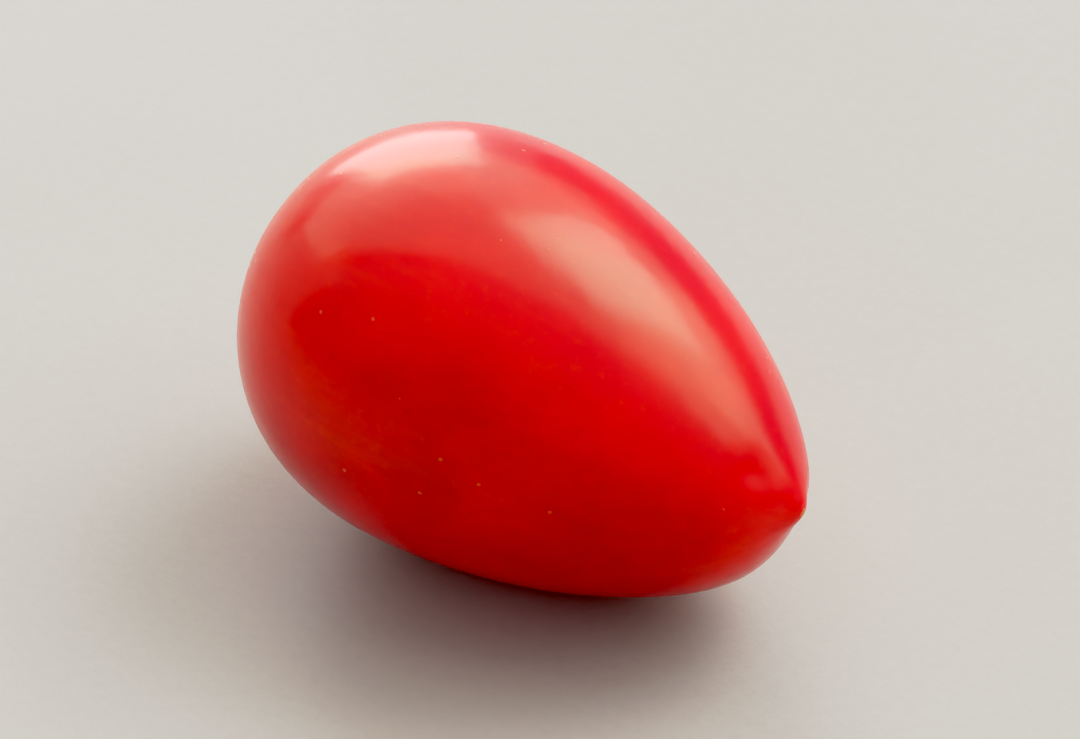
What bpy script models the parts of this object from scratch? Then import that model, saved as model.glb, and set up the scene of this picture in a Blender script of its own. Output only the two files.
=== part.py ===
"""A small plum-shaped cherry tomato, lying on its side where it would come to rest.

The fruit grew in one piece, so it is one closed solid: a turned egg form with a stem dimple and
scar at one end and a little nipple at the other. It is lobed at its shoulders, a touch lower than
it is wide, and pressed flat where it meets the table. All sizes are in metres, +Z is up, and the
origin lies on the table under the middle of the fruit, whose blossom end points along +X.
"""

import math

import bmesh
import bpy
from mathutils import Matrix, Vector

# Driving dimensions of the body.
LENGTH = 0.0330  # along the fruit's own axis, as it would be with no dimple and no nipple
WIDTH = 0.0230  # widest measure from side to side, before the lobes and furrows
HEIGHT = 0.0225  # the same measure across the flatter sides, one of which it lies on

# Shape of the outline: how much of the girth leans towards the stem, and how square the ends are.
STEM_HEAVINESS = 0.232
END_FULLNESS = 0.04

# How far the blossom end bends off the axis, down and to one side.
END_DROP = 0.0013
END_SWAY = -0.0004

# The stem end: a soft dimple, and in its middle the small pit that the stalk broke away from.
DIMPLE_RADIUS = 0.0042
DIMPLE_DEPTH = 0.0007
SCAR_RADIUS = 0.0009
SCAR_DEPTH = 0.0007
SCAR_FLOOR_RADIUS = 0.0006

# The blossom end: a nipple that sits higher than the middle of the end, and the width of skin
# that is drawn up with it.
NIPPLE_RADIUS = 0.0010
NIPPLE_HEIGHT = 0.0005
NIPPLE_RISE = 0.0016
NIPPLE_ROOT_RADIUS = 0.0026

# Soft lobes round the shoulders, one to each seed chamber. The fruit lies on a furrow.
LOBES = 4
LOBE_HEIGHT = 0.00016
LOBE_TURN = math.radians(45)  # from the fruit's own left side up to the crest of the first lobe

# How deep the fruit's own weight presses its lowest point flat.
REST_SPOT_DEPTH = 0.0002

# Fineness of the solid, and of the curve that its resting lean is worked out on.
ROUND_STEPS = 64
OUTLINE_STEPS = 30
KEEL_STEPS = 2000
NIPPLE_RING_SHARES = (0.35, 0.75, 1.2, 1.8)
DIMPLE_RING_SHARES = (0.4, 0.6, 0.8)

SKIN_RED = (0.62, 0.012, 0.008, 1.0)
SKIN_ROUGHNESS = 0.18


def clear_scene():
    """Removes the objects that the scene starts with."""
    for thing in list(bpy.data.objects):
        bpy.data.objects.remove(thing)


def girth_share(turn):
    """The plain outline's radius at an angle from the stem end, before it is scaled to WIDTH."""
    along = math.cos(turn)
    return math.sin(turn) * (1 + STEM_HEAVINESS * along + END_FULLNESS * along * along)


def plain_outline(steps):
    """(distance from the stem end, radius) of the bare egg form, from blossom end to stem end."""
    turns = [math.pi * (1 - step / steps) for step in range(steps + 1)]
    shares = [girth_share(turn) for turn in turns]
    scale = WIDTH / 2 / max(shares)
    return [(LENGTH / 2 * (1 - math.cos(t)), scale * s) for t, s in zip(turns, shares)]


def station_at(outline, radius):
    """How far from the stem end a stretch of the plain outline reaches a radius.

    The stretch runs from its narrow end to its wide one.
    """
    for (near, low), (far, high) in zip(outline, outline[1:]):
        if low <= radius <= high:
            return near + (far - near) * (radius - low) / (high - low)
    return outline[-1][0]


def soft_bump(share):
    """A smooth hump: 1 in the middle, and nearly gone two widths out."""
    return math.exp(-share * share)


def blossom_end(flank):
    """The outline from the nipple's tip to where the plain flank takes over."""
    radii = [0.0] + [NIPPLE_RADIUS * share for share in NIPPLE_RING_SHARES]
    radii += [radius for _, radius in flank if radius > radii[-1]]
    points = []
    for radius in radii:
        rise = NIPPLE_HEIGHT * soft_bump(radius / NIPPLE_RADIUS)
        points.append((station_at(flank, radius) + rise, radius))
    return points


def stem_end(shoulder):
    """The outline from the rim of the scar out to the widest ring."""
    radii = [SCAR_RADIUS] + [DIMPLE_RADIUS * share for share in DIMPLE_RING_SHARES]
    radii = [radius for radius in radii if radius >= SCAR_RADIUS]
    radii += [radius for _, radius in shoulder if radius > radii[-1]]
    points = []
    for radius in radii:
        sink = DIMPLE_DEPTH * soft_bump(radius / DIMPLE_RADIUS * math.sqrt(2))
        points.append((station_at(shoulder, radius) + sink, radius))
    floor = points[0][0] + SCAR_DEPTH
    return [(floor, 0.0), (floor, SCAR_FLOOR_RADIUS), *points]


def fruit_outline():
    """The whole outline, from the nipple's tip round the flank to the floor of the scar."""
    plain = plain_outline(OUTLINE_STEPS)
    widest = max(range(len(plain)), key=lambda index: plain[index][1])
    blossom_half = blossom_end(plain[: widest + 1])
    stem_half = stem_end(plain[:widest:-1])
    return blossom_half + stem_half[::-1]


def turned_fruit():
    """The outline turned about the X axis, as a bmesh."""
    outline = bpy.data.meshes.new("outline")
    points = [(x, radius, 0.0) for x, radius in fruit_outline()]
    outline.from_pydata(points, [(i, i + 1) for i in range(len(points) - 1)], [])
    blank = bpy.data.objects.new("outline", outline)
    bpy.context.scene.collection.objects.link(blank)
    screw = blank.modifiers.new("turn", "SCREW")
    screw.axis = "X"
    screw.steps = screw.render_steps = ROUND_STEPS
    screw.use_merge_vertices = True
    screw.merge_threshold = 1e-6
    graph = bpy.context.evaluated_depsgraph_get()
    form = bmesh.new()
    form.from_object(blank, graph)
    bmesh.ops.remove_doubles(form, verts=form.verts, dist=1e-6)
    bpy.data.objects.remove(blank)
    bpy.data.meshes.remove(outline)
    return form


def lobe_height(place):
    """How far the lobes lift the skin at a place: most at the shoulders, less than 0 in furrows."""
    turn = math.acos(max(-1.0, min(1.0, 1 - 2 * place.x / LENGTH)))
    strength = math.sin(turn) ** 2 * max(0.0, math.cos(turn / 2)) ** 2
    wave = math.cos(LOBES * (math.atan2(place.z, place.y) - LOBE_TURN))
    return LOBE_HEIGHT * strength * wave


def grown_place(place, widest):
    """Where a point of the turned form ends up: lobed, flattened, bent, and drawn to the nipple.

    Widest is how far from the stem end the form is widest, which is where the bend starts.
    """
    from_axis = math.hypot(place.y, place.z)
    swell = 1 + lobe_height(place) / from_axis if from_axis > SCAR_RADIUS else 1
    grown = Vector((place.x, place.y * swell, place.z * swell * HEIGHT / WIDTH))
    if place.x > widest:
        bend = ((place.x - widest) / (LENGTH - widest)) ** 2
        grown.y += END_SWAY * bend
        grown.z += NIPPLE_RISE * soft_bump(from_axis / NIPPLE_ROOT_RADIUS) - END_DROP * bend
    return grown


def centre_of_mass(form):
    """The middle of the volume, from the tetrahedra between the origin and each triangle."""
    volume, moment = 0.0, Vector()
    for a, b, c in form.calc_loop_triangles():
        part = a.vert.co.dot(b.vert.co.cross(c.vert.co)) / 6
        volume += part
        moment += part * (a.vert.co + b.vert.co + c.vert.co) / 4
    return moment / volume


def resting_lean(form, widest):
    """How far the blossom end dips when the fruit comes to rest, with its weight at its lowest.

    It rests on the point of its keel that is nearest to its middle of mass.
    """
    middle = centre_of_mass(form)
    keel = [
        grown_place(Vector((x, 0.0, -radius)), widest) for x, radius in plain_outline(KEEL_STEPS)
    ]
    nearest = min(keel, key=lambda place: (place - middle).length)
    return math.atan2(nearest.x - middle.x, middle.z - nearest.z)


def lay_down(form, lean):
    """Leans the fruit to its rest, presses its lowest point flat and centres it on the origin."""
    form.transform(Matrix.Rotation(lean, 4, "Y"))
    table = min(vertex.co.z for vertex in form.verts) + REST_SPOT_DEPTH
    bmesh.ops.bisect_plane(
        form,
        geom=form.verts[:] + form.edges[:] + form.faces[:],
        dist=1e-7,
        plane_co=(0.0, 0.0, table),
        plane_no=(0.0, 0.0, 1.0),
        clear_inner=True,
    )
    rim = [edge for edge in form.edges if edge.is_boundary]
    bmesh.ops.edgeloop_fill(form, edges=rim)
    bmesh.ops.recalc_face_normals(form, faces=form.faces)
    across = [vertex.co.x for vertex in form.verts], [vertex.co.y for vertex in form.verts]
    middle_x, middle_y = [(min(places) + max(places)) / 2 for places in across]
    form.transform(Matrix.Translation((-middle_x, -middle_y, -table)))


def skin_material():
    """Smooth, waxy, ripe red skin."""
    material = bpy.data.materials.new("skin")
    material.use_nodes = True
    shader = material.node_tree.nodes["Principled BSDF"]
    shader.inputs["Base Color"].default_value = SKIN_RED
    shader.inputs["Roughness"].default_value = SKIN_ROUGHNESS
    shader.inputs["Metallic"].default_value = 0.0
    return material


def make_tomato(collection):
    """The fruit as one named object."""
    form = turned_fruit()
    widest, _ = max(plain_outline(KEEL_STEPS), key=lambda point: point[1])
    for vertex in form.verts:
        vertex.co = grown_place(vertex.co, widest)
    lay_down(form, resting_lean(form, widest))
    mesh = bpy.data.meshes.new("tomato")
    form.to_mesh(mesh)
    form.free()
    mesh.shade_smooth()
    mesh.set_sharp_from_angle(angle=math.radians(35))
    mesh.materials.append(skin_material())
    fruit = bpy.data.objects.new("tomato", mesh)
    collection.objects.link(fruit)
    return fruit


def main():
    clear_scene()
    collection = bpy.data.collections.new("cherry_tomato")
    bpy.context.scene.collection.children.link(collection)
    make_tomato(collection)


main()
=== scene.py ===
"""A ripe, plum-shaped cherry tomato lying on a pale floor in soft studio light.

The fruit is turned up ring by ring, from the top of the stub in its stem scar to the tip of its
nipple, lobed and bent as it grew, leaned over until its weight is at its lowest, and pressed flat
where it meets the floor. Everything is in metres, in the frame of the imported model, with +Z up.
"""

from __future__ import annotations

import logging
import math
from dataclasses import dataclass, field
from enum import Enum
from typing import Callable, Iterator, Sequence

import bmesh
import bpy
from mathutils import Matrix, Vector

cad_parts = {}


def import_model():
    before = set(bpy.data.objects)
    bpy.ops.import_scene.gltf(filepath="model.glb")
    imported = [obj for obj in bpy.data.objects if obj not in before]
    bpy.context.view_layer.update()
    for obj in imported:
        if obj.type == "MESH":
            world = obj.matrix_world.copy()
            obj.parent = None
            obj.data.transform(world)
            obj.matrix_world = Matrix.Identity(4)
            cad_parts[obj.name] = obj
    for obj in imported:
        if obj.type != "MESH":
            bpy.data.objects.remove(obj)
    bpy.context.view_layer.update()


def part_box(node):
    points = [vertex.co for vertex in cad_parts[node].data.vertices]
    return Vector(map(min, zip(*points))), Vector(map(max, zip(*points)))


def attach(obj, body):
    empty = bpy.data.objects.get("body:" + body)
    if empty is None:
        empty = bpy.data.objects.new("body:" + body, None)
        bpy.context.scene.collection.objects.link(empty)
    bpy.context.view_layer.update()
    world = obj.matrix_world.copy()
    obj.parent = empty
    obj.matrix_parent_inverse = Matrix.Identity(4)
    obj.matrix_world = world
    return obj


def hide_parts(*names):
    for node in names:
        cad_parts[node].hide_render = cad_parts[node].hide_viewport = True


LOG = logging.getLogger("cherry_tomato")

Colour = tuple[float, float, float]
Span = tuple[float, float]
Ring = tuple[float, float]
Weight = Callable[[Vector], float]
Socket = bpy.types.NodeSocket
MM = 0.001


# ---- Shader tools ----


class Value:
    """A number that varies over a surface, whose sums and products add Math nodes."""

    def __init__(self, tree: ShaderTree, source: Socket) -> None:
        """Wraps an output socket of a tree."""
        self.tree = tree
        self.source = source

    def _sum(self, operation: str, *terms: Value | float) -> Value:
        """What a Math node makes of the terms."""
        node = self.tree.add("ShaderNodeMath", {"operation": operation}, dict(enumerate(terms)))
        return Value(self.tree, node.outputs[0])

    def __add__(self, other: Value | float) -> Value:
        """This plus the other."""
        return self._sum("ADD", self, other)

    __radd__ = __add__

    def __sub__(self, other: Value | float) -> Value:
        """This less the other."""
        return self._sum("SUBTRACT", self, other)

    def __rsub__(self, other: Value | float) -> Value:
        """The other less this."""
        return self._sum("SUBTRACT", other, self)

    def __mul__(self, other: Value | float) -> Value:
        """This times the other."""
        return self._sum("MULTIPLY", self, other)

    __rmul__ = __mul__

    def __truediv__(self, other: Value | float) -> Value:
        """This over the other."""
        return self._sum("DIVIDE", self, other)

    def __rtruediv__(self, other: Value | float) -> Value:
        """The other over this."""
        return self._sum("DIVIDE", other, self)

    def __pow__(self, power: Value | float) -> Value:
        """This raised to a power."""
        return self._sum("POWER", self, power)

    def at_least(self, floor: Value | float) -> Value:
        """The greater of this and a floor."""
        return self._sum("MAXIMUM", self, floor)

    def at_most(self, ceiling: Value | float) -> Value:
        """The lesser of this and a ceiling."""
        return self._sum("MINIMUM", self, ceiling)

    def over(self, edge: Value | float) -> Value:
        """1 where this is greater than the edge, else 0."""
        return self._sum("GREATER_THAN", self, edge)

    def rise(self, low: float, high: float) -> Value:
        """A soft step.

        Args:
            low: the value at which the step starts. When it is above high, the step goes down.
            high: the value at which it is complete.

        Returns:
            0 before the step and 1 after it.
        """
        settings = {"interpolation_type": "SMOOTHSTEP", "clamp": True}
        sockets = {"Value": self, "From Min": low, "From Max": high}
        node = self.tree.add("ShaderNodeMapRange", settings, sockets)
        return Value(self.tree, node.outputs["Result"])


@dataclass(frozen=True)
class Clouds:
    """Soft cloudy noise: how wide its clouds are, its finer layers and how strong those are."""

    size: float
    detail: float = 2.0
    roughness: float = 0.5


class ShaderTree:
    """A material's node tree, emptied to be built anew."""

    def __init__(self, material: bpy.types.Material) -> None:
        """Empties the material's tree.

        Args:
            material: the material.
        """
        material.use_nodes = True
        self.tree = material.node_tree
        self.tree.nodes.clear()

    def add(self, kind: str, settings: dict, sockets: dict) -> bpy.types.Node:
        """Adds a node.

        Args:
            kind: the node's type.
            settings: its properties, set before its sockets.
            sockets: what each input, by name or number, is given: a number, a colour, a Value
                or another node's output.

        Returns:
            The new node.
        """
        node = self.tree.nodes.new(kind)
        for name, setting in settings.items():
            setattr(node, name, setting)
        for name, given in sockets.items():
            if isinstance(given, Value):
                self.tree.links.new(given.source, node.inputs[name])
            elif isinstance(given, Socket):
                self.tree.links.new(given, node.inputs[name])
            else:
                node.inputs[name].default_value = given
        return node

    def blend(self, under: object, over: object, share: Value | float) -> Socket:
        """Lays one colour over another.

        Args:
            under: the colour below, as numbers or a socket.
            over: the colour above.
            share: how much of the upper one shows.

        Returns:
            The mixed colour's socket.
        """
        settings = {"data_type": "RGBA", "clamp_factor": True}
        sockets = {0: share, 6: opaque(under), 7: opaque(over)}
        return self.add("ShaderNodeMix", settings, sockets).outputs[2]

    def grain(self, place: Socket, clouds: Clouds) -> Value:
        """Soft cloudy noise.

        Args:
            place: the coordinates that it is read at.
            clouds: its size, in the units of the coordinates, and its finer layers.

        Returns:
            The noise, from 0 to 1.
        """
        sockets = {
            "Vector": place,
            "Scale": 1 / clouds.size,
            "Detail": clouds.detail,
            "Roughness": clouds.roughness,
        }
        return Value(self, self.add("ShaderNodeTexNoise", {}, sockets).outputs[0])

    def cells(self, place: Socket, size: float) -> tuple[Value, Value]:
        """Scattered points.

        Args:
            place: the coordinates that they are read at.
            size: how far apart they lie.

        Returns:
            The distance to the nearest point, in the units of the coordinates, and a number from
            0 to 1 that is that point's own.
        """
        node = self.add("ShaderNodeTexVoronoi", {}, {"Vector": place, "Scale": 1 / size})
        own = self.add("ShaderNodeSeparateColor", {}, {0: node.outputs["Color"]})
        return Value(self, node.outputs["Distance"]) * size, Value(self, own.outputs[0])

    def axes(self, place: Socket) -> tuple[Value, Value, Value]:
        """The three lengths in a coordinate socket."""
        parts = self.add("ShaderNodeSeparateXYZ", {}, {0: place}).outputs
        return Value(self, parts[0]), Value(self, parts[1]), Value(self, parts[2])

    def place(self, x: Value | float, y: Value | float, z: Value | float) -> Socket:
        """A coordinate socket from three lengths."""
        return self.add("ShaderNodeCombineXYZ", {}, {0: x, 1: y, 2: z}).outputs[0]

    def bump(self, height: Value) -> Socket:
        """The surface's normal over bumps whose height is in metres."""
        sockets = {"Strength": 1.0, "Distance": 1.0, "Height": height}
        return self.add("ShaderNodeBump", {}, sockets).outputs[0]

    def shade(self, sockets: dict) -> None:
        """Makes a shader, given what goes into its sockets, the material's surface."""
        shader = self.add("ShaderNodeBsdfPrincipled", {}, sockets)
        self.add("ShaderNodeOutputMaterial", {}, {"Surface": shader.outputs[0]})


def opaque(colour: object) -> object:
    """A colour given as three numbers with full alpha, and anything else as it is."""
    return (*colour, 1.0) if isinstance(colour, tuple) else colour


# ---- The fruit's shape ----


class Way(Enum):
    """Which way a part of the surface is moved."""

    OUTWARDS = "NORMAL"
    SIDEWAYS = "Y"
    UPWARDS = "Z"


def soft_bump(share: float) -> float:
    """A smooth hump: 1 in the middle, and nearly gone two widths out."""
    return math.exp(-share * share)


def cloudy(name: str, size: float, layers: int) -> bpy.types.Texture:
    """Cloudy noise for moving a surface.

    Args:
        name: what it is called.
        size: how wide its clouds are.
        layers: how many finer layers it has.

    Returns:
        The texture.
    """
    clouds = bpy.data.textures.new(name, "CLOUDS")
    clouds.noise_scale = size
    clouds.noise_depth = layers
    return clouds


def scale(along: float, across: float, up: float, about: float = 0.0) -> None:
    """Scales what is selected in edit mode, about a point of the X axis."""
    bpy.ops.transform.resize(value=(along, across, up), center_override=(about, 0.0, 0.0))


@dataclass(frozen=True)
class Outline:
    """The fruit's outline, along and out from its own axis, which starts at the stem end.

    A ring of the skin is given as its length along the axis and its radius.
    """

    length: float = 33.0 * MM
    width: float = 23.0 * MM
    stem_heaviness: float = 0.232
    end_fullness: float = 0.04
    dimple_radius: float = 4.2 * MM
    dimple_depth: float = 0.7 * MM
    nipple_radius: float = 1.0 * MM
    nipple_height: float = 0.5 * MM
    third_cuts: int = 40
    halvings: int = 50

    def girth_share(self, turn: float) -> float:
        """The plain egg's radius at an angle from the stem end, before it is scaled."""
        along = math.cos(turn)
        return math.sin(turn) * (1 + self.stem_heaviness * along + self.end_fullness * along**2)

    def widest_turn(self) -> float:
        """Where the egg is widest.

        Returns:
            The angle from the stem end.
        """
        low, high = 0.0, math.pi
        for _ in range(self.third_cuts):
            third = (high - low) / 3
            if self.girth_share(low + third) > self.girth_share(high - third):
                high -= third
            else:
                low += third
        return (low + high) / 2

    def turn_at(self, radius: float, stem_side: bool) -> float:
        """Where the plain egg has a radius.

        Args:
            radius: the radius to find.
            stem_side: whether to look on the stem's side of the widest ring.

        Returns:
            The angle from the stem end.
        """
        narrow = 0.0 if stem_side else math.pi
        wide = self.widest_turn()
        share = radius / (self.width / 2) * self.girth_share(wide)
        for _ in range(self.halvings):
            middle = (narrow + wide) / 2
            if self.girth_share(middle) < share:
                narrow = middle
            else:
                wide = middle
        return (narrow + wide) / 2

    def ring(self, turn: float) -> Ring:
        """One ring of skin.

        Args:
            turn: the angle from the stem end.

        Returns:
            The ring there.
        """
        widest = self.widest_turn()
        radius = self.width / 2 * self.girth_share(turn) / self.girth_share(widest)
        along = self.length / 2 * (1 - math.cos(turn))
        if turn < widest:
            sink = soft_bump(radius / self.dimple_radius * math.sqrt(2))
            return along + self.dimple_depth * sink, radius
        return along + self.nipple_height * soft_bump(radius / self.nipple_radius), radius

    def ring_of_radius(self, radius: float, stem_side: bool) -> Ring:
        """The ring of skin of a radius, on the stem's side of the widest ring or the other."""
        return self.ring(self.turn_at(radius, stem_side))


@dataclass(frozen=True)
class StemScar:
    """The pit where the stalk broke away, its corky rim and the frayed stub of its strands.

    A ring is given in millimetres, as how deep it lies and its radius. The stub's and the pit's
    depths are below the rim, and the cork's are below the skin that it covers. None is deeper
    than the reach.
    """

    stub: Sequence[Ring] = ((0.40, 0.14), (0.42, 0.24), (0.52, 0.31), (0.68, 0.35))
    pit: Sequence[Ring] = ((0.74, 0.46), (0.70, 0.58), (0.54, 0.68), (0.28, 0.76), (0.07, 0.83))
    cork: Sequence[Ring] = (
        (-0.05, 0.91), (-0.08, 1.00), (-0.07, 1.10), (-0.05, 1.20), (-0.02, 1.29), (0.02, 1.37),
    )
    rim_radius: float = 0.90 * MM
    reach: float = 1.0 * MM
    stub_shift: Vector = field(default_factory=lambda: Vector((0.0, -0.14, -0.20)) * MM)
    splits: Sequence[float] = (12.0, 95.0, 160.0, 228.0, 310.0)
    split_half_width: float = math.radians(8)
    split_stretch: float = 1.22

    @property
    def outer_radius(self) -> float:
        """Where the cork gives way to skin."""
        return self.cork[-1][1] * MM

    @property
    def stub_radius(self) -> float:
        """The radius that only the stub's own rings lie within."""
        return (self.stub[-1][1] + self.pit[0][1]) / 2 * MM

    @property
    def split_span(self) -> Span:
        """The radii between which the rim is split: part of the pit's wall and of the cork."""
        return self.pit[1][1] * MM, self.cork[2][1] * MM

    def rim(self, outline: Outline) -> float:
        """How far along the fruit's axis the pit's rim lies."""
        along, _ = outline.ring_of_radius(self.rim_radius, stem_side=True)
        return along

    def rings(self, outline: Outline) -> Iterator[Ring]:
        """The scar's rings.

        Args:
            outline: the outline of the fruit that it is on.

        Yields:
            The rings from the stub's top to the cork's edge, in the outline's own measures.
        """
        rim = self.rim(outline)
        for depth, radius in (*self.stub, *self.pit):
            yield rim + depth * MM, radius * MM
        for depth, radius in self.cork:
            skin, _ = outline.ring_of_radius(radius * MM, stem_side=True)
            yield skin + depth * MM, radius * MM


@dataclass
class Fruit:
    """The whole fruit: skin, stem scar and nipple, in one closed mesh."""

    outline: Outline = field(default_factory=Outline)
    scar: StemScar = field(default_factory=StemScar)
    height: float = 22.5 * MM
    segments: int = 128
    shoulder_radii: Sequence[float] = (1.5, 1.7, 1.95, 2.25, 2.6, 3.0, 3.45, 3.95, 4.5, 5.1)
    flank_rings: int = 40
    tip_radii: Sequence[float] = (
        2.7, 2.35, 2.0, 1.7, 1.45, 1.22, 1.0, 0.8, 0.62, 0.46, 0.3, 0.15,
    )
    end_drop: float = 1.3 * MM
    end_sway: float = 0.4 * MM
    nipple_rise: float = 1.6 * MM
    nipple_root_radius: float = 2.6 * MM
    lobes: int = 4
    lobe_height: float = 0.16 * MM
    lobe_turn: float = math.radians(45)
    puckers: int = 5
    pucker_depth: float = 0.15 * MM
    pucker_radius: float = 2.3 * MM
    pucker_spread: float = 1.1 * MM
    pucker_turn: float = 0.6
    pucker_sharpness: float = 1.5
    hollow_place: Vector = field(default_factory=lambda: Vector((31.2, -2.1, 2.8)) * MM)
    hollow_radius: float = 1.0 * MM
    hollow_depth: float = 0.18 * MM
    unevenness: float = 0.05 * MM
    unevenness_size: float = 9.0 * MM
    lumps: float = 0.045 * MM
    lump_size: float = 1.3 * MM
    lump_spread: float = 4.0 * MM
    cork_roughness: float = 0.07 * MM
    cork_grain: float = 0.22 * MM
    cork_fade: float = 0.15 * MM
    keel_steps: int = 2000
    rest_spot_depth: float = 0.2 * MM
    piece: bpy.types.Object | None = None
    axis: Matrix = field(default_factory=Matrix)

    def build(self, low: Vector, high: Vector) -> None:
        """Models the fruit and lays it in its place.

        Args:
            low: the lowest corner of the space that it fills.
            high: the highest corner.
        """
        self.turn_up()
        self.fray_scar()
        self.pucker_dimple()
        self.swell_lobes()
        self.flatten_and_bend()
        self.hollow_tip()
        self.lean_over()
        self.smooth()
        self.roughen()
        self.seat(low, high)

    def rings(self) -> Iterator[Ring]:
        """The fruit's rings.

        Yields:
            All rings from the stub's top to the last one before the nipple's tip.
        """
        outline = self.outline
        yield from self.scar.rings(outline)
        for radius in self.shoulder_radii:
            yield outline.ring_of_radius(radius * MM, stem_side=True)
        first = outline.turn_at(self.shoulder_radii[-1] * MM, stem_side=True)
        last = outline.turn_at(self.tip_radii[0] * MM, stem_side=False)
        for step in range(1, self.flank_rings):
            yield outline.ring(first + (last - first) * step / self.flank_rings)
        for radius in self.tip_radii:
            yield outline.ring_of_radius(radius * MM, stem_side=False)

    def turn_up(self) -> None:
        """Starts from a disc on the stub's top and extrudes it, ring by ring, to the tip."""
        rings = list(self.rings())
        along, radius = rings[0]
        bpy.ops.object.select_all(action="DESELECT")
        bpy.ops.mesh.primitive_circle_add(
            vertices=self.segments,
            radius=radius,
            fill_type="TRIFAN",
            location=(along, 0.0, 0.0),
            rotation=(0.0, math.pi / 2, 0.0),
        )
        self.piece = bpy.context.object
        self.piece.name = self.piece.data.name = "tomato_fruit"
        bpy.ops.object.transform_apply(location=True, rotation=True, scale=True)
        bpy.ops.object.mode_set(mode="EDIT")
        bpy.ops.mesh.select_mode(type="EDGE")
        bpy.ops.mesh.select_all(action="DESELECT")
        bpy.ops.mesh.select_non_manifold()
        for next_along, next_radius in rings[1:]:
            bpy.ops.mesh.extrude_region_move(
                TRANSFORM_OT_translate={"value": (next_along - along, 0.0, 0.0)}
            )
            grow = next_radius / radius
            scale(1.0, grow, grow, about=next_along)
            along, radius = next_along, next_radius
        tip, _ = self.outline.ring(math.pi)
        bpy.ops.mesh.extrude_region_move(
            TRANSFORM_OT_translate={"value": (tip - along, 0.0, 0.0)}
        )
        bpy.ops.mesh.merge(type="CENTER")
        bpy.ops.mesh.select_all(action="SELECT")
        bpy.ops.mesh.normals_make_consistent(inside=False)
        bpy.ops.object.mode_set(mode="OBJECT")

    def select(self, wanted: Callable[[Vector], bool]) -> None:
        """Selects vertices, in edit mode.

        Args:
            wanted: whether the vertex at a place is selected.
        """
        bpy.ops.mesh.select_mode(type="VERT")
        bpy.ops.mesh.select_all(action="DESELECT")
        form = bmesh.from_edit_mesh(self.piece.data)
        for vertex in form.verts:
            vertex.select_set(wanted(vertex.co))
        form.select_flush_mode()
        bmesh.update_edit_mesh(self.piece.data)

    def fray_scar(self) -> None:
        """Shifts the stub off the middle and splits the pit's rim outwards into a ragged star."""
        rim = self.scar.rim(self.outline)
        bottom = rim + self.scar.reach
        inner, outer = self.scar.split_span
        bpy.ops.object.mode_set(mode="EDIT")
        self.select(lambda at: at.x < bottom and at.yz.length < self.scar.stub_radius)
        bpy.ops.transform.translate(value=self.scar.stub_shift)
        for degrees in self.scar.splits:
            turn = math.radians(degrees)
            middle = Vector((math.cos(turn), math.sin(turn)))

            def in_split(at: Vector) -> bool:
                """Whether a vertex lies on the pit's wall or rim within this split."""
                if at.x > bottom or not inner < at.yz.length < outer:
                    return False
                return at.yz.angle(middle) < self.scar.split_half_width

            self.select(in_split)
            scale(1.0, self.scar.split_stretch, self.scar.split_stretch, about=rim)
        bpy.ops.object.mode_set(mode="OBJECT")

    def displace(
        self,
        weight: Weight,
        strength: float,
        way: Way = Way.OUTWARDS,
        texture: bpy.types.Texture | None = None,
    ) -> None:
        """Moves the surface by a weight that varies over it.

        Args:
            weight: a vertex's share of the move, from 0 to 1, by its place.
            strength: the whole move, in metres.
            way: which way it goes.
            texture: a texture that also scales the move, about its own middle grey.
        """
        group = self.piece.vertex_groups.new(name="move")
        for vertex in self.piece.data.vertices:
            share = weight(vertex.co)
            if share > 0:
                group.add([vertex.index], share, "REPLACE")
        bpy.ops.object.modifier_add(type="DISPLACE")
        modifier = self.piece.modifiers[-1]
        modifier.vertex_group = group.name
        modifier.direction = way.value
        modifier.strength = strength
        modifier.mid_level = 0.5 if texture else 0.0
        modifier.texture = texture
        modifier.texture_coords = "LOCAL"
        bpy.ops.object.modifier_apply(modifier=modifier.name)
        self.piece.vertex_groups.clear()

    def pucker_dimple(self) -> None:
        """Draws the skin round the scar into shallow furrows."""

        def pucker(at: Vector) -> float:
            """How deep in a furrow a vertex lies, from 0 to 1."""
            if at.x > self.outline.length / 4 or at.yz.length < self.scar.outer_radius:
                return 0.0
            near = soft_bump((at.yz.length - self.pucker_radius) / self.pucker_spread)
            wave = math.cos(self.puckers * math.atan2(at.z, at.y) + self.pucker_turn)
            return near * max(0.0, wave) ** self.pucker_sharpness

        self.displace(pucker, -self.pucker_depth)

    def lobe_wave(self, at: Vector) -> float:
        """How the lobes swell a vertex.

        Args:
            at: the vertex's place.

        Returns:
            How far it lies up a lobe's crest, or below 0, down a furrow.
        """
        if at.yz.length < self.scar.outer_radius:
            return 0.0
        turn = math.acos(max(-1.0, min(1.0, 1 - 2 * at.x / self.outline.length)))
        strength = math.sin(turn) ** 2 * max(0.0, math.cos(turn / 2)) ** 2
        return strength * math.cos(self.lobes * (math.atan2(at.z, at.y) - self.lobe_turn))

    def swell_lobes(self) -> None:
        """Raises the lobes over the seed chambers and sinks the furrows between them."""
        self.displace(lambda at: max(0.0, self.lobe_wave(at)), self.lobe_height)
        self.displace(lambda at: max(0.0, -self.lobe_wave(at)), -self.lobe_height)

    def bend_share(self, along: float) -> float:
        """How far along the bend of the blossom half a length lies, 1 at the plain egg's end."""
        widest, _ = self.outline.ring(self.outline.widest_turn())
        return max(0.0, (along - widest) / (self.outline.length - widest)) ** 2

    def flatten_and_bend(self) -> None:
        """Makes the fruit lower than it is wide, bends its blossom half and draws up its tip."""
        half = self.outline.length / 2
        most = self.bend_share(self.outline.length + self.outline.nipple_height)
        sway, drop = -self.end_sway * most, -self.end_drop * most
        self.displace(lambda at: self.bend_share(at.x) / most, sway, Way.SIDEWAYS)

        def drawn_up(at: Vector) -> float:
            """How much a vertex goes up with the nipple."""
            return soft_bump(at.yz.length / self.nipple_root_radius) if at.x > half else 0.0

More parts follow.
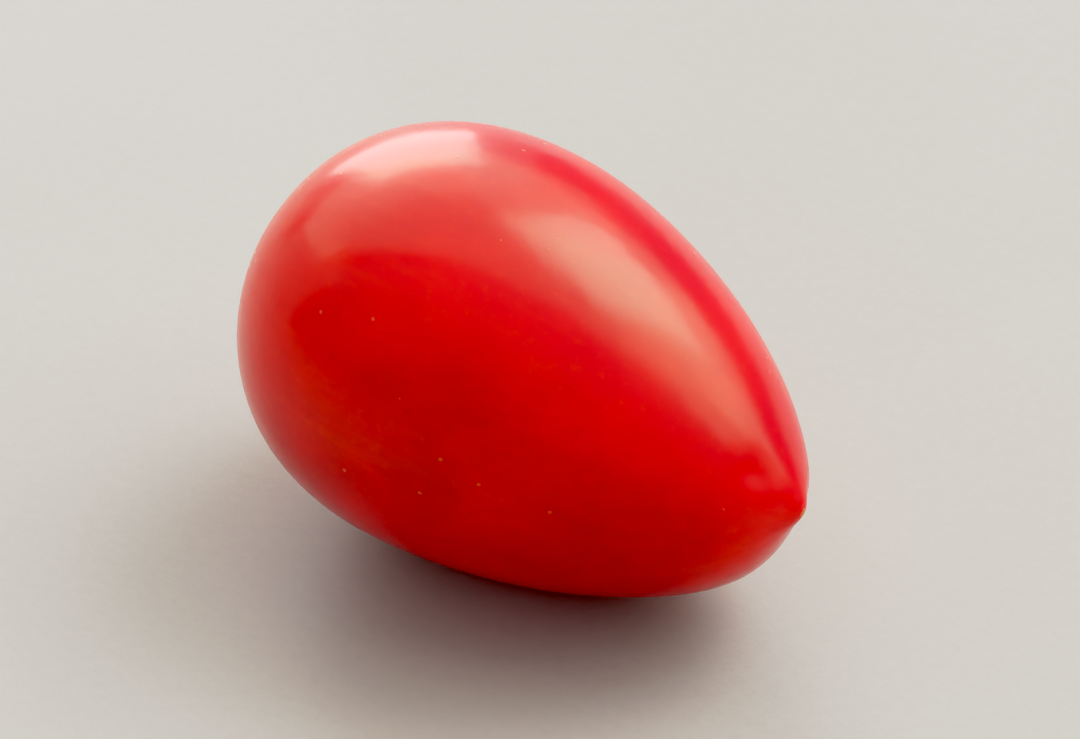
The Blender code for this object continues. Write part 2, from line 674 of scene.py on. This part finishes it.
        bpy.ops.object.mode_set(mode="EDIT")
        bpy.ops.mesh.select_all(action="SELECT")
        scale(1.0, 1.0, self.height / self.outline.width)
        bpy.ops.object.mode_set(mode="OBJECT")
        self.displace(drawn_up, self.nipple_rise, Way.UPWARDS)
        self.displace(lambda at: self.bend_share(at.x) / most, drop, Way.UPWARDS)

    def hollow_tip(self) -> None:
        """Sinks the shallow hollow beside the nipple."""

        def in_hollow(at: Vector) -> float:
            """How near a vertex lies to the hollow's middle."""
            return soft_bump((at - self.hollow_place).length / self.hollow_radius)

        self.displace(in_hollow, -self.hollow_depth)

    def middle_of_weight(self) -> Vector:
        """Adds up the fruit's volume.

        Returns:
            The volume's middle.
        """
        form = bmesh.new()
        form.from_mesh(self.piece.data)
        volume, moment = 0.0, Vector()
        for a, b, c in form.calc_loop_triangles():
            part = a.vert.co.dot(b.vert.co.cross(c.vert.co)) / 6
            volume += part
            moment += part * (a.vert.co + b.vert.co + c.vert.co) / 4
        form.free()
        return moment / volume

    def resting_lean(self) -> float:
        """How far the blossom end dips when the fruit's weight is at its lowest.

        Returns:
            The angle that brings the middle of its weight over the point of its keel that is
            nearest to it.
        """
        middle = self.middle_of_weight()
        squeeze = self.height / self.outline.width
        keel = []
        for step in range(1, self.keel_steps):
            along, radius = self.outline.ring(math.pi * step / self.keel_steps)
            drop = self.end_drop * self.bend_share(along)
            keel.append(Vector((along, 0.0, -radius * squeeze - drop)))
        nearest = min(keel, key=lambda place: (place - middle).length)
        return math.atan2(nearest.x - middle.x, middle.z - nearest.z)

    def lean_over(self) -> None:
        """Leans the fruit to its rest and lowers it until its skin dents by the spot's depth."""
        lean = self.resting_lean()
        LOG.info("the fruit leans %.2f degrees", math.degrees(lean))
        self.transform(Matrix.Rotation(lean, 4, "Y"))
        lowest = min(vertex.co.z for vertex in self.piece.data.vertices)
        self.transform(Matrix.Translation((0.0, 0.0, -lowest - self.rest_spot_depth)))

    def transform(self, move: Matrix) -> None:
        """Moves the mesh, and the frame that its markings are laid out in."""
        self.piece.data.transform(move)
        self.axis = move @ self.axis

    def smooth(self) -> None:
        """Rounds off the rings and shades the skin smooth."""
        bpy.ops.object.modifier_add(type="SUBSURF")
        modifier = self.piece.modifiers[-1]
        modifier.levels = modifier.render_levels = 1
        bpy.ops.object.modifier_apply(modifier=modifier.name)
        bpy.ops.object.shade_smooth()

    def roughen(self) -> None:
        """Gives the skin a grown fruit's slight unevenness, and the cork its grain."""
        to_axis = self.axis.inverted()
        rim = self.scar.rim(self.outline)

        def on_cork(at: Vector) -> float:
            """How much of a vertex is cork, from 0 to 1."""
            own = to_axis @ at
            if own.x > rim + self.scar.reach:
                return 0.0
            past = (own.yz.length - self.scar.outer_radius) / self.cork_fade
            return max(0.0, min(1.0, -past))

        def round_scar(at: Vector) -> float:
            """How much of a vertex is the lumpy skin round the scar, from 0 to 1."""
            own = to_axis @ at
            if own.x > rim + self.lump_spread:
                return 0.0
            return soft_bump(own.yz.length / self.lump_spread) * (1.0 - on_cork(at))

        swell = cloudy("swell", self.unevenness_size, 1)
        lumps = cloudy("lumps", self.lump_size, 2)
        bark = cloudy("cork_grain", self.cork_grain, 3)
        self.displace(lambda at: 1.0 - on_cork(at), self.unevenness * 2, texture=swell)
        self.displace(round_scar, self.lumps * 2, texture=lumps)
        self.displace(on_cork, self.cork_roughness * 2, texture=bark)

    def seat(self, low: Vector, high: Vector) -> None:
        """Presses the rest spot flat and fits the fruit to its place.

        Args:
            low: the lowest corner of the space that it fills.
            high: the highest corner.
        """
        bpy.ops.object.mode_set(mode="EDIT")
        self.select(lambda at: at.z < 0.0)
        scale(1.0, 1.0, 0.0)
        bpy.ops.object.mode_set(mode="OBJECT")
        places = [vertex.co for vertex in self.piece.data.vertices]
        least = Vector(min(place[axis] for place in places) for axis in range(3))
        most = Vector(max(place[axis] for place in places) for axis in range(3))
        size, room = most - least, high - low
        fit = [room[axis] / size[axis] for axis in range(3)]
        LOG.info("fitted by %.4f, %.4f and %.4f", *fit)
        self.transform(
            Matrix.Translation(low) @ Matrix.Diagonal((*fit, 1.0)) @ Matrix.Translation(-least)
        )
        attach(self.piece, "root")
        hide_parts("tomato")
        LOG.info("%s: %d faces", self.piece.name, len(self.piece.data.polygons))


# ---- Finishes ----


class SkinPlace:
    """Where a point of the surface lies, measured in the fruit's own frame."""

    near_axis: float = 0.05 * MM
    spoke_pitch: float = 0.12
    stem_half: Span = (12 * MM, 8 * MM)

    def __init__(self, tree: ShaderTree, fruit: Fruit) -> None:
        """Sets up the measures that the markings are laid out by.

        Args:
            tree: the tree that they are used in.
            fruit: the finished fruit.
        """
        stem, turn, _ = fruit.axis.decompose()
        lying = tree.add("ShaderNodeTexCoord", {}, {}).outputs["Object"]
        sockets = {"Vector": lying, "Location": stem, "Rotation": turn.to_euler()}
        settings = {"vector_type": "TEXTURE"}
        self.place = tree.add("ShaderNodeMapping", settings, sockets).outputs[0]
        self.along, across, up = tree.axes(self.place)
        self.from_axis = (across * across + up * up) ** 0.5
        self.from_stem = (self.along * self.along + self.from_axis * self.from_axis) ** 0.5
        reach = fruit.outline.width / 2 / self.from_axis.at_least(self.near_axis)
        self.spokes = tree.place(self.along * self.spoke_pitch, across * reach, up * reach)
        self.depth = self.along - fruit.scar.rim(fruit.outline)
        self.stem_side = self.along.rise(*self.stem_half)
        _, shift_across, shift_up = fruit.scar.stub_shift
        stub_across, stub_up = across - shift_across, up - shift_up
        self.from_stub = (stub_across * stub_across + stub_up * stub_up) ** 0.5
        to_axis = fruit.axis.inverted()
        own_places = (to_axis @ vertex.co for vertex in fruit.piece.data.vertices)
        tip = max(own_places, key=lambda at: at.x)
        gaps = (self.along - tip.x, across - tip.y, up - tip.z)
        self.from_tip = sum(gap * gap for gap in gaps) ** 0.5


@dataclass(frozen=True)
class ScarMasks:
    """Where the skin is not skin: cork, the pit with its painted shade, straw stub, and dry scab
    on the nipple.
    """

    cork: Value
    pit: Value
    stub: Value
    scab: Value

    @property
    def dry(self) -> Value:
        """Where the surface is dry and has no wax."""
        return self.cork.at_least(self.scab)


@dataclass(frozen=True)
class Flesh:
    """The ripe flesh that shows through the skin: mottled red, orange towards the stem."""

    deep: Colour = (0.54, 0.0010, 0.0150)
    bright: Colour = (0.73, 0.0035, 0.0130)
    orange: Colour = (0.74, 0.045, 0.0060)
    vein: Colour = (0.74, 0.022, 0.0090)
    patches: Clouds = Clouds(8 * MM, 3.0, 0.55)
    patch_edges: Span = (0.3, 0.7)
    streaks: Clouds = Clouds(1.5 * MM, 3.0, 0.6)
    streak_edges: Span = (0.48, 0.80)
    streak_strength: float = 0.30
    shoulder_streak: float = 7 * MM
    shoulder_patch: float = 2.5 * MM
    shoulder_edges: Span = (13 * MM, 2 * MM)
    shoulder_strength: float = 0.85
    mottle: Clouds = Clouds(0.55 * MM, 3.0, 0.65)
    pale_mottle: Span = (0.52, 0.80)
    pale_strength: float = 0.35
    deep_mottle: Span = (0.48, 0.20)
    deep_strength: float = 0.45

    def colour(self, tree: ShaderTree, skin: SkinPlace) -> Socket:
        """The flesh's colour at every point of the skin.

        Args:
            tree: the tree that it is mixed in.
            skin: the surface's measures.

        Returns:
            The colour's socket.
        """
        ripeness = tree.grain(skin.place, self.patches).rise(*self.patch_edges)
        colour = tree.blend(self.deep, self.bright, ripeness)
        streaks = tree.grain(skin.spokes, self.streaks)
        veins = streaks.rise(*self.streak_edges) * self.streak_strength
        colour = tree.blend(colour, self.vein, veins)
        ragged = (streaks - 0.5) * self.shoulder_streak + (ripeness - 0.5) * self.shoulder_patch
        shoulder = (skin.from_stem + ragged).rise(*self.shoulder_edges)
        colour = tree.blend(colour, self.orange, shoulder * self.shoulder_strength)
        mottle = tree.grain(skin.place, self.mottle)
        pale = mottle.rise(*self.pale_mottle) * self.pale_strength
        colour = tree.blend(colour, self.vein, pale)
        return tree.blend(colour, self.deep, mottle.rise(*self.deep_mottle) * self.deep_strength)


@dataclass(frozen=True)
class Specks:
    """Tiny pale dots, thick round the stem and few elsewhere."""

    colour: Colour = (0.92, 0.17, 0.06)
    strength: float = 0.4
    spacing: float = 0.75 * MM
    least_radius: float = 0.07 * MM
    radius_range: float = 0.08 * MM
    edge: Span = (1.0, 0.3)
    fray: Clouds = Clouds(0.12 * MM)
    fray_width: float = 0.12 * MM
    crowd_edges: Span = (9 * MM, 2 * MM)
    left_out: float = 0.955
    crowding: float = 0.66

    def mask(self, tree: ShaderTree, skin: SkinPlace, masks: ScarMasks) -> Value:
        """Where the dots are.

        Args:
            tree: the tree that the mask is made in.
            skin: the surface's measures.
            masks: the scars, whose cork has no dots.

        Returns:
            1 on a dot and 0 off it.
        """
        crowd = skin.from_axis.rise(*self.crowd_edges) * skin.stem_side
        apart, own = tree.cells(skin.place, self.spacing)
        radius = own * self.radius_range + self.least_radius
        ragged = apart + (tree.grain(skin.place, self.fray) - 0.5) * self.fray_width
        dots = (ragged / radius).rise(*self.edge)
        return dots * own.over(self.left_out - crowd * self.crowding) * (1 - masks.cork)


@dataclass(frozen=True)
class Scars:
    """The stem scar's cork, the pit with its painted shade, stub and golden ring, and the scab on
    the nipple's tip.
    """

    halo: Colour = (0.72, 0.20, 0.020)
    halo_fray: Clouds = Clouds(2.2 * MM, 3.0, 0.6)
    halo_fray_width: float = 1.6 * MM
    halo_edge: Span = (2.3 * MM, 1.1 * MM)
    halo_strength: float = 0.85
    cork: Colour = (0.36, 0.13, 0.022)
    cork_pale: Colour = (0.62, 0.36, 0.12)
    cork_fray: Clouds = Clouds(1.6 * MM, 3.0, 0.6)
    cork_fray_width: float = 0.55 * MM
    cork_edge: Span = (0.06 * MM, -0.10 * MM)
    cork_grain: Clouds = Clouds(0.12 * MM, 3.0, 0.7)
    cork_grain_edges: Span = (0.35, 0.65)
    crack: Colour = (0.13, 0.040, 0.008)
    cracks: Clouds = Clouds(0.9 * MM, 2.0, 0.6)
    crack_edges: Span = (0.56, 0.64)
    crack_strength: float = 0.7
    # Painted shade: a near-black colour painted into the pit. It darkens the pit's wall as it
    # goes deeper below the rim.
    pit: Colour = (0.045, 0.014, 0.005)
    pit_shade_edge: Span = (1.30 * MM, 1.15 * MM)
    pit_shade_depth: Span = (0.02 * MM, 0.26 * MM)
    stub: Colour = (0.66, 0.47, 0.20)
    stub_edge: Span = (0.36 * MM, 0.28 * MM)
    stub_depth: Span = (0.70 * MM, 0.50 * MM)
    strands: Clouds = Clouds(0.07 * MM)
    strand_edges: Span = (0.3, 0.7)
    scab: Colour = (0.40, 0.19, 0.07)
    scab_fray: Clouds = Clouds(0.25 * MM)
    scab_fray_width: float = 0.25 * MM
    scab_edge: Span = (0.30 * MM, 0.16 * MM)

    def masks(self, tree: ShaderTree, skin: SkinPlace, scar: StemScar) -> ScarMasks:
        """Where each scar is.

        Args:
            tree: the tree that the masks are made in.
            skin: the surface's measures.
            scar: the stem scar's form.

        Returns:
            The share of every scar at every point of the surface.
        """
        frayed = (tree.grain(skin.spokes, self.cork_fray) - 0.5) * self.cork_fray_width
        past = skin.from_axis + frayed - scar.outer_radius
        # The pit's painted shade falls within its radius and grows darker with depth below the
        # rim.
        inside = skin.from_axis.rise(*self.pit_shade_edge) * skin.stem_side
        stub = skin.from_stub.rise(*self.stub_edge) * skin.depth.rise(*self.stub_depth)
        ragged = (tree.grain(skin.place, self.scab_fray) - 0.5) * self.scab_fray_width
        return ScarMasks(
            cork=past.rise(*self.cork_edge) * skin.stem_side,
            pit=skin.depth.rise(*self.pit_shade_depth) * inside,
            stub=stub * skin.stem_side,
            scab=(skin.from_tip + ragged).rise(*self.scab_edge),
        )

    def lay(self, tree: ShaderTree, skin: SkinPlace, masks: ScarMasks, colour: Socket) -> Socket:
        """Lays the scars' colours over the skin's.

        Args:
            tree: the tree that they are mixed in.
            skin: the surface's measures.
            masks: where each scar is.
            colour: the skin's colour.

        Returns:
            The colour with the scars on it.
        """
        frayed = (tree.grain(skin.spokes, self.halo_fray) - 0.5) * self.halo_fray_width
        ring = (skin.from_axis + frayed).rise(*self.halo_edge) * skin.stem_side
        colour = tree.blend(colour, self.halo, ring * self.halo_strength)
        grain = tree.grain(skin.place, self.cork_grain).rise(*self.cork_grain_edges)
        bark = tree.blend(self.cork, self.cork_pale, grain)
        cracks = tree.grain(skin.spokes, self.cracks).rise(*self.crack_edges)
        bark = tree.blend(bark, self.crack, cracks * self.crack_strength)
        colour = tree.blend(colour, bark, masks.cork)
        # Lays the painted shade in the pit.
        colour = tree.blend(colour, self.pit, masks.pit)
        strands = tree.grain(skin.place, self.strands).rise(*self.strand_edges)
        colour = tree.blend(colour, tree.blend(self.crack, self.stub, strands), masks.stub)
        return tree.blend(colour, self.scab, masks.scab)


@dataclass(frozen=True)
class Relief:
    """The finest unevenness: kinds of cloudy noise, and how high each of them is."""

    waves: Clouds = Clouds(2.4 * MM)
    wave_height: float = 0.045 * MM
    pores: Clouds = Clouds(0.30 * MM)
    pore_height: float = 0.0022 * MM
    creases: Clouds = Clouds(3.2 * MM)
    crease_height: float = 0.12 * MM
    crease_reach: Span = (4.5 * MM, 1.5 * MM)
    bark: Clouds = Clouds(0.14 * MM, 3.0, 0.7)
    bark_height: float = 0.10 * MM
    strands: Clouds = Clouds(0.06 * MM)
    strand_height: float = 0.08 * MM
    speck_height: float = 0.008 * MM

    def normal(
        self, tree: ShaderTree, skin: SkinPlace, masks: ScarMasks, specks: Value
    ) -> Socket:
        """The skin's bumps.

        Args:
            tree: the tree that they are made in.
            skin: the surface's measures.
            masks: where each scar is.
            specks: where the specks are.

        Returns:
            The bumped normal's socket.
        """
        near = skin.from_axis.rise(*self.crease_reach) * skin.stem_side
        return tree.bump(
            tree.grain(skin.place, self.waves) * self.wave_height
            + tree.grain(skin.place, self.pores) * self.pore_height
            + tree.grain(skin.spokes, self.creases) * near * self.crease_height
            + tree.grain(skin.place, self.bark) * masks.cork * self.bark_height
            + tree.grain(skin.place, self.strands) * masks.stub * self.strand_height
            + specks * self.speck_height
        )


@dataclass(frozen=True)
class RipeSkin:
    """Waxy skin over ripe flesh, with pale specks and the scars at both ends."""

    flesh: Flesh = Flesh()
    specks: Specks = Specks()
    scars: Scars = Scars()
    relief: Relief = Relief()
    roughness: float = 0.17
    bloom: Clouds = Clouds(2.6 * MM, 3.0, 0.6)
    bloom_roughness: float = 0.10
    speck_roughness: float = 0.15
    dry_roughness: float = 0.55
    roughest: float = 0.85
    refraction: float = 1.48
    gloss_tint: Colour = (0.98, 0.98, 0.58)
    wax: float = 0.1
    wax_roughness: float = 0.07
    glow: float = 0.5
    glow_shares: Colour = (1.0, 0.10, 0.06)
    glow_depth: float = 2.2 * MM

    def dress(self, fruit: Fruit) -> None:
        """Gives the fruit its skin.

        Args:
            fruit: the finished fruit, whose own frame the markings are laid out in.
        """
        material = bpy.data.materials.new("ripe_skin")
        tree = ShaderTree(material)
        skin = SkinPlace(tree, fruit)
        masks = self.scars.masks(tree, skin, fruit.scar)
        specks = self.specks.mask(tree, skin, masks)
        colour = self.flesh.colour(tree, skin)
        colour = tree.blend(colour, self.specks.colour, specks * self.specks.strength)
        roughness = tree.grain(skin.place, self.bloom) * self.bloom_roughness + self.roughness
        roughness += specks * self.speck_roughness + masks.dry * self.dry_roughness
        tree.shade({
            "Base Color": self.scars.lay(tree, skin, masks, colour),
            "Roughness": roughness.at_most(self.roughest),
            "IOR": self.refraction,
            "Specular Tint": opaque(self.gloss_tint),
            "Coat Weight": (1 - masks.dry) * self.wax,
            "Coat Roughness": self.wax_roughness,
            "Subsurface Weight": self.glow,
            "Subsurface Radius": self.glow_shares,
            "Subsurface Scale": self.glow_depth,
            "Normal": self.relief.normal(tree, skin, masks, specks),
        })
        fruit.piece.data.materials.append(material)
        LOG.info("%s: dressed in %s", fruit.piece.name, material.name)


@dataclass(frozen=True)
class PaleFloor:
    """Matt off-white board, faintly clouded and fibrous."""

    pale: Colour = (0.345, 0.334, 0.318)
    shade: Colour = (0.315, 0.304, 0.288)
    clouds: Clouds = Clouds(60 * MM, 3.0, 0.6)
    cloud_share: float = 0.6
    fibres: Clouds = Clouds(0.8 * MM, 3.0, 0.7)
    fibre_height: float = 0.02 * MM
    fibre_roughness: float = 0.15
    edges: Span = (0.35, 0.65)
    roughness: float = 0.6

    def dress(self, floor: bpy.types.Object) -> None:
        """Paints the floor.

        Args:
            floor: the floor.
        """
        material = bpy.data.materials.new("pale_floor")
        tree = ShaderTree(material)
        place = tree.add("ShaderNodeTexCoord", {}, {}).outputs["Object"]
        clouds = tree.grain(place, self.clouds)
        fibres = tree.grain(place, self.fibres)
        mix = clouds * self.cloud_share + fibres * (1 - self.cloud_share)
        tree.shade({
            "Base Color": tree.blend(self.shade, self.pale, mix.rise(*self.edges)),
            "Roughness": fibres * self.fibre_roughness + self.roughness,
            "Normal": tree.bump(fibres * self.fibre_height),
        })
        floor.data.materials.append(material)


# ---- The studio ----


WHITE: Colour = (1.0, 1.0, 1.0)
WARM: Colour = (1.0, 0.96, 0.80)


def heading(azimuth: float, elevation: float) -> Vector:
    """A way out from the fruit.

    Args:
        azimuth: its bearing in degrees, 0 towards -Y and 90 towards +X.
        elevation: how far it rises above the level, in degrees.

    Returns:
        The way, as a vector of length 1.
    """
    turn, rise = math.radians(azimuth), math.radians(elevation)
    level = Vector((math.sin(turn), -math.cos(turn), 0.0)) * math.cos(rise)
    return level + Vector((0.0, 0.0, math.sin(rise)))


def put_up(name: str, data: bpy.types.ID, subject: Vector, place: Vector) -> bpy.types.Object:
    """Puts up a lamp or a camera that faces its subject.

    Args:
        name: what it is called.
        data: the lamp or the camera.
        subject: what it faces.
        place: where it stands, measured from the subject.

    Returns:
        The new object.
    """
    holder = bpy.data.objects.new(name, data)
    holder.location = subject + place
    holder.rotation_euler = place.to_track_quat("Z", "Y").to_euler()
    bpy.context.scene.collection.objects.link(holder)
    return holder


@dataclass(frozen=True)
class Softbox:
    """A rectangular lamp that faces the fruit, brighter in the middle than at its edges.

    Its angles are as seen from the fruit, in degrees: the azimuth of its middle, the elevations
    of its lower and upper edges, how wide it is, and how wide a band its light fades over at each
    edge. It is made of sheets, one inside the other, and its brightness is what a mirror would
    show where they all overlap.
    """

    name: str
    azimuth: float
    low: float
    high: float
    width: float
    brightness: float
    feather: float = 12.0
    sheets: int = 3
    distance: float = 0.8
    tint: Colour = WHITE

    def hang(self, subject: Vector) -> None:
        """Hangs the lamp's sheets, one inside the other."""
        for sheet in range(self.sheets):
            spread = self.feather * ((sheet + 0.5) / self.sheets - 0.5)
            self.hang_sheet(subject, self.width + 2 * spread, self.high - self.low + 2 * spread)

    def hang_sheet(self, subject: Vector, width: float, height: float) -> None:
        """Hangs one sheet.

        Args:
            subject: what it lights.
            width: the angle that it fills from side to side, in degrees.
            height: the angle that it fills up and down.
        """
        lamp = bpy.data.lights.new(self.name, "AREA")
        lamp.shape = "RECTANGLE"
        lamp.size = 2 * self.distance * math.tan(math.radians(width / 2))
        lamp.size_y = 2 * self.distance * math.tan(math.radians(height / 2))
        lamp.energy = math.pi * lamp.size * lamp.size_y * self.brightness / self.sheets
        lamp.color = self.tint
        towards = heading(self.azimuth, (self.low + self.high) / 2)
        put_up(self.name, lamp, subject, towards * self.distance)


@dataclass(frozen=True)
class Studio:
    """The floor, the lamps, the camera and how light becomes colour in its picture."""

    floor_size: float = 3.0
    azimuth: float = 31.8
    elevation: float = 38.0
    distance: float = 0.52
    frame_width: float = 57 * MM
    sensor: float = 36.0
    near_limit: float = 0.01
    air: float = 0.30
    black_level: Colour = (0.010, 0.032, 0.030)
    white_level: float = 2.0
    shoulder: Sequence[Span] = ((0.15, 0.30), (0.30, 0.57), (0.50, 0.74), (0.75, 0.88))
    softboxes: Sequence[Softbox] = (
        Softbox("canopy", -168.0, 30.0, 88.0, 126.0, 3.6, feather=13.0, tint=WARM),
        Softbox("back", -178.0, 23.0, 56.0, 104.0, 1.9, feather=8.0, tint=WARM),
        Softbox("lantern", 160.0, 42.0, 59.0, 16.0, 25.0, feather=20.0, sheets=6),
        Softbox("glow", 140.0, 27.0, 58.0, 34.0, 3.8, tint=WARM),
        Softbox("right", 120.0, 15.0, 46.0, 32.0, 2.2, feather=10.0, tint=WARM),
        Softbox("window", -137.5, 6.0, 27.0, 12.0, 34.0, feather=18.0, sheets=8),
        Softbox("halo", -134.0, 6.0, 46.0, 40.0, 1.4, feather=20.0, tint=WARM),
        Softbox("left", -82.0, 4.0, 34.0, 32.0, 1.4, tint=WARM),
        Softbox("fill", 22.0, 24.0, 76.0, 110.0, 1.0, feather=30.0),
    )

    def build(self, subject: Vector) -> None:
        """Lays the floor and sets up the lamps, the camera and the look of the picture.

        Args:
            subject: the middle of the fruit.
        """
        self.lay_floor()
        for softbox in self.softboxes:
            softbox.hang(subject)
        self.light_air()
        self.aim_camera(subject)
        self.develop()
        LOG.info("studio: %d softboxes", len(self.softboxes))

    def lay_floor(self) -> None:
        """Lays a wide flat floor."""
        bpy.ops.object.select_all(action="DESELECT")
        bpy.ops.mesh.primitive_plane_add(size=self.floor_size)
        floor = bpy.context.object
        floor.name = "floor"
        PaleFloor().dress(floor)

    def light_air(self) -> None:
        """Fills the shadows with a little even light."""
        world = bpy.data.worlds.new("studio_air")
        world.use_nodes = True
        background = world.node_tree.nodes["Background"]
        background.inputs["Color"].default_value = opaque(WHITE)
        background.inputs["Strength"].default_value = self.air
        bpy.context.scene.world = world

    def aim_camera(self, subject: Vector) -> None:
        """Looks down on the fruit from its blossom end's side, through a long lens.

        Args:
            subject: what it looks at.
        """
        lens = bpy.data.cameras.new("camera")
        lens.sensor_width = self.sensor
        lens.lens = self.sensor * self.distance / self.frame_width
        lens.clip_start = self.near_limit
        towards = heading(self.azimuth, self.elevation)
        camera = put_up("camera", lens, subject, towards * self.distance)
        bpy.context.scene.camera = camera

    def develop(self) -> None:
        """Makes the blacks firm and lets the brightest light fade softly into white."""
        view = bpy.context.scene.view_settings
        view.view_transform = "Standard"
        view.use_curve_mapping = True
        mapping = view.curve_mapping
        mapping.black_level = self.black_level
        mapping.white_level = (self.white_level,) * 3
        _, _, _, all_channels = mapping.curves
        for place in self.shoulder:
            all_channels.points.new(*place)
        mapping.update()


def main() -> None:
    """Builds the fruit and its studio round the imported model."""
    logging.basicConfig(level=logging.INFO, format="%(name)s: %(message)s")
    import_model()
    low, high = (Vector(corner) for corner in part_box("tomato"))
    fruit = Fruit()
    fruit.build(low, high)
    RipeSkin().dress(fruit)
    Studio().build((low + high) / 2)


if __name__ == "__main__":
    main()
